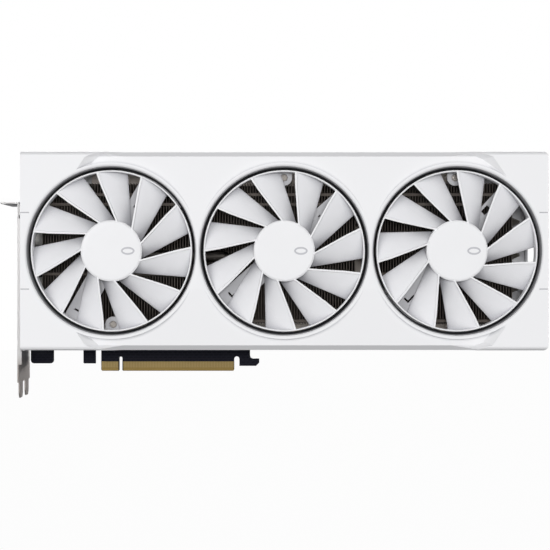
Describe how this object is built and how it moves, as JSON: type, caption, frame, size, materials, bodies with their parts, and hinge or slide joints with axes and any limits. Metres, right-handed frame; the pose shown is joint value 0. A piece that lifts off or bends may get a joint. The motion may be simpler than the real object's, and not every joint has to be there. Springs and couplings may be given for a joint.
{
  "type": "graphics card",
  "caption": "White graphics card for a desktop computer: plastic shroud with bladed cooling fans, finned heatsink, backplate, edge connector and slot bracket.",
  "frame": {"origin": "middle of the key notch on the seating edge of the gold contacts, halfway through the board", "axes": "+X away from the slot bracket along the card, +Y from the fans towards the backplate, +Z away from the motherboard"},
  "size_m": [0.3347, 0.0557, 0.151],
  "materials": {
    "shroud_plastic": "white moulded plastic with a fine texture",
    "fan_plastic": "white moulded plastic, satin",
    "frame_plastic": "white moulded plastic",
    "trim_plastic": "dark glossy plastic",
    "backplate_paint": "white painted aluminium",
    "nickel": "warm nickel plate",
    "screw_steel": "nickel-plated machine screws",
    "spring_steel": "spring steel",
    "board": "black solder mask on glass-fibre board",
    "contact_gold": "gold-plated contacts",
    "chip_resin": "black moulding resin",
    "package_resin": "chip package substrate",
    "silicon": "polished silicon",
    "paste": "thermal paste",
    "thermal_pad": "soft thermal pad",
    "choke_ferrite": "pressed ferrite",
    "capacitor_can": "aluminium can",
    "connector_plastic": "black connector plastic",
    "port_shell": "drawn steel shell",
    "cold_plate_copper": "nickel-plated copper",
    "pipe_nickel": "nickel-plated copper pipe",
    "fin_aluminium": "dark anodised aluminium sheet",
    "copper_coil": "enamelled copper winding",
    "bearing_metal": "sintered bronze",
    "magnet_ferrite": "bonded ferrite ring",
    "shaft_steel": "ground steel",
    "cable_sleeve": "black sleeving",
    "hub_plastic": "white satin cap with a plain grey inlay"
  },
  "bodies": {
    "card": {"shroud": "shroud_plastic", "shroud_sides": "shroud_plastic", "fan_collars": "shroud_plastic", "trim_rings": "trim_plastic", "fan_screws": "screw_steel", "backplate": "backplate_paint", "backplate_screws": "screw_steel", "bracket": "nickel", "bracket_screws": "screw_steel", "pcb": "board", "edge_contacts": "contact_gold", "gpu_package": "package_resin", "gpu_die": "silicon", "thermal_paste": "paste", "memory_chips": "chip_resin", "memory_pads": "thermal_pad", "chokes": "choke_ferrite", "power_stages": "chip_resin", "power_stage_pads": "thermal_pad", "capacitors": "capacitor_can", "power_connectors": "connector_plastic", "power_pins": "contact_gold", "hdmi_port": "port_shell", "displayports": "port_shell", "port_tongues": "connector_plastic", "cold_plate": "cold_plate_copper", "heat_pipes": "pipe_nickel", "front_heat_pipe": "pipe_nickel", "fin_stack_left": "fin_aluminium", "fin_stack_middle": "fin_aluminium", "fin_stack_right": "fin_aluminium", "mid_frame": "nickel", "board_screws": "screw_steel", "spring_plate": "spring_steel", "spring_screws": "screw_steel", "fan_header": "connector_plastic", "fan_cables": "cable_sleeve", "fan_frame_left": "frame_plastic", "fan_frame_middle": "frame_plastic", "fan_frame_right": "frame_plastic", "stator_left": "copper_coil", "stator_middle": "copper_coil", "stator_right": "copper_coil", "bearing_left": "bearing_metal", "bearing_middle": "bearing_metal", "bearing_right": "bearing_metal"},
    "fan_left": {"rotor_left": "fan_plastic", "magnet_left": "magnet_ferrite", "shaft_left": "shaft_steel", "hub_cap_left": "hub_plastic"},
    "fan_middle": {"rotor_middle": "fan_plastic", "magnet_middle": "magnet_ferrite", "shaft_middle": "shaft_steel", "hub_cap_middle": "hub_plastic"},
    "fan_right": {"rotor_right": "fan_plastic", "magnet_right": "magnet_ferrite", "shaft_right": "shaft_steel", "hub_cap_right": "hub_plastic"}
  },
  "joints": [
    {"name": "left_fan_spin", "type": "hinge", "parent": "card", "child": "fan_left", "pos_m": [-0.0007, -0.0435, 0.076], "axis": [0, -1, 0], "continuous": true},
    {"name": "middle_fan_spin", "type": "hinge", "parent": "card", "child": "fan_middle", "pos_m": [0.1043, -0.0435, 0.076], "axis": [0, -1, 0], "continuous": true},
    {"name": "right_fan_spin", "type": "hinge", "parent": "card", "child": "fan_right", "pos_m": [0.2093, -0.0435, 0.076], "axis": [0, -1, 0], "continuous": true}
  ]
}
